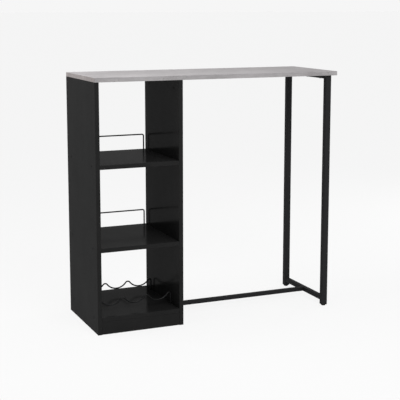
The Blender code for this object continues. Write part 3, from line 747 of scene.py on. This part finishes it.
low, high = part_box("left_top_cam_front")
cam = turned("cam_model", [
    (0, -CAM_SINK),
    (CAM_RADIUS - 2 * CAM_RIM, -CAM_SINK),
    (CAM_RADIUS - CAM_RIM, 0),
    (CAM_RADIUS - SCREW_EDGE_BREAK, 0),
    (CAM_RADIUS, -SCREW_EDGE_BREAK),
    (CAM_RADIUS, low.x - high.x),
    (0, low.x - high.x),
])
cut(cam, plus_cutter(CAM_SLOT_LENGTH, CAM_SLOT_WIDTH, CAM_SLOT_DEPTH))
set_out("cam_set", cam, {
    f"{side}_top_cam_{end}": OUTWARD["right" if side == "left" else "left"]
    for side in ("left", "right") for end in ("front", "rear")
}, plastic)

# %% [markdown]
# ## Weld beads
# The two crossbars are welded between the legs, and under the powder coat the bead still shows as
# a thin rippled fillet round the joint. It follows the outline of the bar on the face of the leg,
# so it is a path again: the tree steps along it, swells every other step, and runs a round section
# through. The top bar lies against the bar top, so its bead runs round three sides only.

# %% weld beads
BEAD_RADIUS = 0.0013
BEAD_STEP = 0.0012
BEAD_SWELL = 0.22
BEAD_SIDES = 10
TUBE_CORNER = 0.002
CORNER_STEPS = 4

bead_tree, given = open_tree("weld_bead", Bead_radius="Float", Step="Float", Swell="Float", Sides="Int")
stepped = add_node(bead_tree, "GeometryNodeResampleCurve", {
    "Curve": rounded_path(bead_tree, given["Geometry"], CORNER_STEPS), "Length": given["Step"],
}, mode="LENGTH")
step = add_node(bead_tree, "GeometryNodeInputIndex")
swollen = add_node(bead_tree, "ShaderNodeMath", {0: step.outputs[0], 1: 2.0}, operation="MODULO")
ripple = add_node(bead_tree, "ShaderNodeMath", {
    0: swollen.outputs[0], 1: given["Swell"], 2: 1.0,
}, operation="MULTIPLY_ADD")
section = add_node(bead_tree, "GeometryNodeCurvePrimitiveCircle", {
    "Resolution": given["Sides"], "Radius": given["Bead radius"],
})
bead = add_node(bead_tree, "GeometryNodeCurveToMesh", {
    "Curve": stepped.outputs[0], "Profile Curve": section.outputs[0],
    "Scale": ripple.outputs[0], "Fill Caps": True,
})
smooth = add_node(bead_tree, "GeometryNodeSetShadeSmooth", {"Geometry": bead.outputs[0]})
close_tree(bead_tree, given, smooth.outputs[0])

for bar, closed in (("top_crossbar", False), ("bottom_crossbar", True)):
    low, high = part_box(bar)
    for end, y in (("front", low.y), ("rear", high.y)):
        outline = [(low.x, y, high.z), (low.x, y, low.z), (high.x, y, low.z), (high.x, y, high.z)]
        weld = grow(
            f"{bar}_{end}_weld",
            path_mesh(outline, closed, pin_radius=[TUBE_CORNER] * len(outline)), bead_tree,
            Bead_radius=BEAD_RADIUS, Step=BEAD_STEP, Swell=BEAD_SWELL, Sides=BEAD_SIDES,
            Material=powder_coat,
        )
        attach(weld, "table")
        print(weld.name, "faces:", len(weld.data.polygons))

# %% [markdown]
# ## Levelling feet
# Under each leg a threaded stud stands in a moulded foot, and turning the foot by its ribbed rim
# raises the leg. Both are seen close up only when the foot is screwed out. The thread is a helix
# with a diamond section wound on a core, one millimetre of height to each turn, and the grip is one
# rib repeated round the rim of a turned base.

# %% threaded studs
THREAD_PITCH = 0.001
THREAD_DEPTH = 0.0005
THREAD_STEPS = 24
DIAMOND_SIDES = 4

thread_tree, given = open_tree("thread", Helix_radius="Float", Turns="Float", Height="Float", Depth="Float")
helix = add_node(thread_tree, "GeometryNodeCurveSpiral", {
    "Resolution": THREAD_STEPS, "Rotations": given["Turns"], "Height": given["Height"],
    "Start Radius": given["Helix radius"], "End Radius": given["Helix radius"], "Reverse": True,
})
upright = add_node(thread_tree, "GeometryNodeSetCurveNormal", {"Curve": helix.outputs[0]}, mode="Z_UP")
diamond = add_node(thread_tree, "GeometryNodeCurvePrimitiveCircle", {
    "Resolution": DIAMOND_SIDES, "Radius": given["Depth"],
})
ridge = add_node(thread_tree, "GeometryNodeCurveToMesh", {
    "Curve": upright.outputs[0], "Profile Curve": diamond.outputs[0], "Fill Caps": True,
})
both = add_node(thread_tree, "GeometryNodeJoinGeometry", {"Geometry": [given["Geometry"], ridge.outputs[0]]})
close_tree(thread_tree, given, both.outputs[0])


def move_to(piece, place):
    """Puts a piece's place in its mesh and leaves its object at the origin."""
    for vertex in piece.data.vertices:
        vertex.co += place


for end in ("front", "rear"):
    low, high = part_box(end + "_foot_stud")
    crest, height = (high.x - low.x) / 2, high.z - low.z
    root = crest - THREAD_DEPTH
    foot, tip = -THREAD_DEPTH, height - THREAD_DEPTH
    core = turned("core", [
        (0, foot), (root - THREAD_DEPTH, foot), (root, 0),
        (root, tip - THREAD_DEPTH), (root - THREAD_DEPTH, tip), (0, tip),
    ])
    turns = math.floor((tip - THREAD_DEPTH) / THREAD_PITCH)
    stud = grow(
        end + "_threaded_stud", core.data, thread_tree,
        Helix_radius=root, Turns=turns, Height=turns * THREAD_PITCH, Depth=THREAD_DEPTH, Material=zinc_steel,
    )
    bpy.data.objects.remove(core)
    move_to(stud, Vector(((low.x + high.x) / 2, (low.y + high.y) / 2, low.z - foot)))
    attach(stud, end + "_foot_stud")
    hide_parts(end + "_foot_stud")
    print(stud.name, "turns:", turns, "size mm:", box_mm(stud))

# %% [markdown]
# ## Foot bases
# The base is turned round its seat for the stud: a flat pad below, a broken edge, and a dished top.
# The ribs are half sunk round rods, so they melt into the rim as moulded grip ribs do.

# %% ribbed foot bases
RIB_COUNT = 30
RIB_RADIUS = 0.0006
RIB_SIDES = 10
RIB_MARGIN = 0.0009
BASE_EDGE = 0.0010
BASE_STEPS = 60
SEAT_GAP = 0.0003

rib_tree, given = open_tree(
    "ribbed_rim", Rim_radius="Float", Ribs="Int", Rib_radius="Float", Rib_height="Float", Middle="Float",
)
rim = add_node(rib_tree, "GeometryNodeMeshCircle", {"Vertices": given["Ribs"], "Radius": given["Rim radius"]})
rod = add_node(rib_tree, "GeometryNodeMeshCylinder", {
    "Vertices": RIB_SIDES, "Radius": given["Rib radius"], "Depth": given["Rib height"],
})
around = add_node(rib_tree, "GeometryNodeInstanceOnPoints", {
    "Points": rim.outputs[0], "Instance": rod.outputs[0],
})
raised = add_node(rib_tree, "ShaderNodeCombineXYZ", {"Z": given["Middle"]})
lifted = add_node(rib_tree, "GeometryNodeTransform", {
    "Geometry": around.outputs[0], "Translation": raised.outputs[0],
})
joined = add_node(rib_tree, "GeometryNodeJoinGeometry", {"Geometry": [given["Geometry"], lifted.outputs[0]]})
close_tree(rib_tree, given, joined.outputs[0])

for end in ("front", "rear"):
    low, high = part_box(end + "_foot_base")
    stud_low, stud_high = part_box(end + "_foot_stud")
    height, rim_radius = high.z - low.z, (high.x - low.x) / 2 - RIB_RADIUS
    seat_radius = (stud_high.x - stud_low.x) / 2 + SEAT_GAP
    seat = stud_low.z - low.z - SEAT_GAP
    base = turned("base", [
        (0, 0), (rim_radius - BASE_EDGE, 0), (rim_radius, BASE_EDGE), (rim_radius, height - BASE_EDGE),
        (rim_radius - BASE_EDGE, height), (seat_radius, height), (seat_radius, seat), (0, seat),
    ], BASE_STEPS)
    soften(base.data)
    foot = grow(
        end + "_ribbed_foot", base.data, rib_tree,
        Rim_radius=rim_radius, Ribs=RIB_COUNT, Rib_radius=RIB_RADIUS,
        Rib_height=height - 2 * RIB_MARGIN, Middle=height / 2, Material=plastic,
    )
    bpy.data.objects.remove(base)
    move_to(foot, Vector(((low.x + high.x) / 2, (low.y + high.y) / 2, low.z)))
    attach(foot, end + "_foot_base")
    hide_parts(end + "_foot_base")
    print(foot.name, "faces:", len(foot.data.polygons), "size mm:", box_mm(foot))

# %% [markdown]
# ## Studio floor
# The table stands on plain pale paper. To the camera and in reflections most of the floor is
# see-through, so it takes the tone of the background and no horizon shows; the share that stays
# matt keeps the table's soft shadow. A see-through floor has a second use here: the model holds
# the table still while a foot is screwed out, so the foot goes down through the floor and is
# still seen.

# %% floor
FLOOR_SIZE = 400
FLOOR_CLEARNESS = 0.86

floor_mesh = bpy.data.meshes.new("floor")
half = FLOOR_SIZE / 2
floor_mesh.from_pydata(
    [(-half, -half, 0), (half, -half, 0), (half, half, 0), (-half, half, 0)], [], [(0, 1, 2, 3)],
)
floor = put("floor", floor_mesh)

# gives the eye paper-white ground that only the table's shadow darkens
ground = bpy.data.materials.new("studio_paper")
ground.use_nodes = True
tree = ground.node_tree
tree.nodes.remove(tree.nodes["Principled BSDF"])
seen = add_node(tree, "ShaderNodeLightPath")
shown = add_node(tree, "ShaderNodeMath", {
    0: seen.outputs["Is Camera Ray"], 1: seen.outputs["Is Glossy Ray"],
}, operation="MAXIMUM")
share = add_node(tree, "ShaderNodeMath", {0: shown.outputs[0], 1: FLOOR_CLEARNESS}, operation="MULTIPLY")
matt = add_node(tree, "ShaderNodeBsdfDiffuse", {"Color": linear("E2E2E2")})
clear = add_node(tree, "ShaderNodeBsdfTransparent", {"Color": linear("FFFFFF")})
paper = add_node(tree, "ShaderNodeMixShader", {0: share.outputs[0], 1: matt.outputs[0], 2: clear.outputs[0]})
tree.links.new(paper.outputs[0], tree.nodes["Material Output"].inputs["Surface"])
floor_mesh.materials.append(ground)
print(ground.name, "floor m:", FLOOR_SIZE)

# %% [markdown]
# ## Background and fill light
# The world does two jobs. To the camera, and to reflections in the black boards, it is a sheet of
# paper a little short of white. To everything else it is a weaker, even fill light, as the white
# walls of a studio give. Rays that came through the floor have lost the share that the floor keeps,
# so they find the paper a little lighter, and floor and background meet in one tone.

# %% world
PAPER = "F6F6F6"
FILL_STRENGTH = 0.465

world = bpy.data.worlds.new("studio")
world.use_nodes = True
bpy.context.scene.world = world
tree = world.node_tree
seen = add_node(tree, "ShaderNodeLightPath")
mirrored = add_node(tree, "ShaderNodeMath", {
    0: seen.outputs["Is Glossy Ray"], 1: seen.outputs["Is Transmission Ray"],
}, operation="MAXIMUM")
shown = add_node(tree, "ShaderNodeMath", {
    0: seen.outputs["Is Camera Ray"], 1: mirrored.outputs[0],
}, operation="MAXIMUM")
fill = add_node(tree, "ShaderNodeBackground", {"Color": linear("FFFFFF"), "Strength": FILL_STRENGTH})
tint = add_node(tree, "ShaderNodeMix", {
    FACTOR: seen.outputs["Transparent Depth"], COLOUR_A: linear(PAPER), COLOUR_B: linear("FFFFFF"),
}, data_type="RGBA")
backdrop = add_node(tree, "ShaderNodeBackground", {"Color": tint.outputs[MIXED_COLOUR]})
sky = add_node(tree, "ShaderNodeMixShader", {0: shown.outputs[0], 1: fill.outputs[0], 2: backdrop.outputs[0]})
tree.links.new(sky.outputs[0], tree.nodes["World Output"].inputs["Surface"])
print(world.name, "fill strength:", FILL_STRENGTH)

# %% [markdown]
# ## Lamps
# Black boards show their shape only if each face gets its own level of light. The key softbox
# hangs over the left end: it makes the outer side panel the lightest black face and lets the bar
# top fall off to the right. A larger one, high in front, lights the front edges and reaches into
# the shelves. A low one on the right lifts the faces that are seen from that side; it stands below
# the level of the bar top, so it leaves the top as it is.

# %% lamps
LAMP_TARGET = Vector((-0.1, 0, 0.6))

for name, lamp_place, size, power in (
    ("key_softbox", (-1.3, 0.1, 2.4), 1.0, 21.5),
    ("fill_softbox", (0.1, -2.7, 3.0), 1.6, 54),
    ("right_softbox", (3.4, 0.9, 0.9), 0.8, 32),
):
    lamp = put(name, bpy.data.lights.new(name, "AREA"))
    lamp.data.size = size
    lamp.data.energy = power
    lamp.location = lamp_place
    lamp.rotation_euler = (LAMP_TARGET - lamp.location).to_track_quat("-Z", "Y").to_euler()
    print(name, "power W:", power, "distance m:", round((LAMP_TARGET - lamp.location).length, 2))

# %% [markdown]
# ## Camera
# The picture is taken from the front left with a long lens, a little above the bar top. A product
# photographer keeps uprights upright by shifting the lens; most of that shift is left out here and
# the camera is tilted down instead, so that the table stays in the frame when it is seen from
# other sides too. A small shift is kept, because it brings the uprights closer to vertical.

# %% camera
CAMERA_PLACE = (-1.776, -4.099, 1.331)
CAMERA_YAW = 23.28
CAMERA_PITCH = 8.92
CAMERA_LENS = 93.14
CAMERA_SHIFT = -0.08

camera = put("camera", bpy.data.cameras.new("camera"))
camera.location = CAMERA_PLACE
camera.rotation_euler = (math.radians(90 - CAMERA_PITCH), 0, math.radians(-CAMERA_YAW))
camera.data.lens = CAMERA_LENS
camera.data.shift_y = CAMERA_SHIFT
bpy.context.scene.camera = camera
bpy.context.scene.view_settings.view_transform = "Standard"
print("camera lens mm:", CAMERA_LENS, "yaw:", CAMERA_YAW, "pitch:", CAMERA_PITCH)
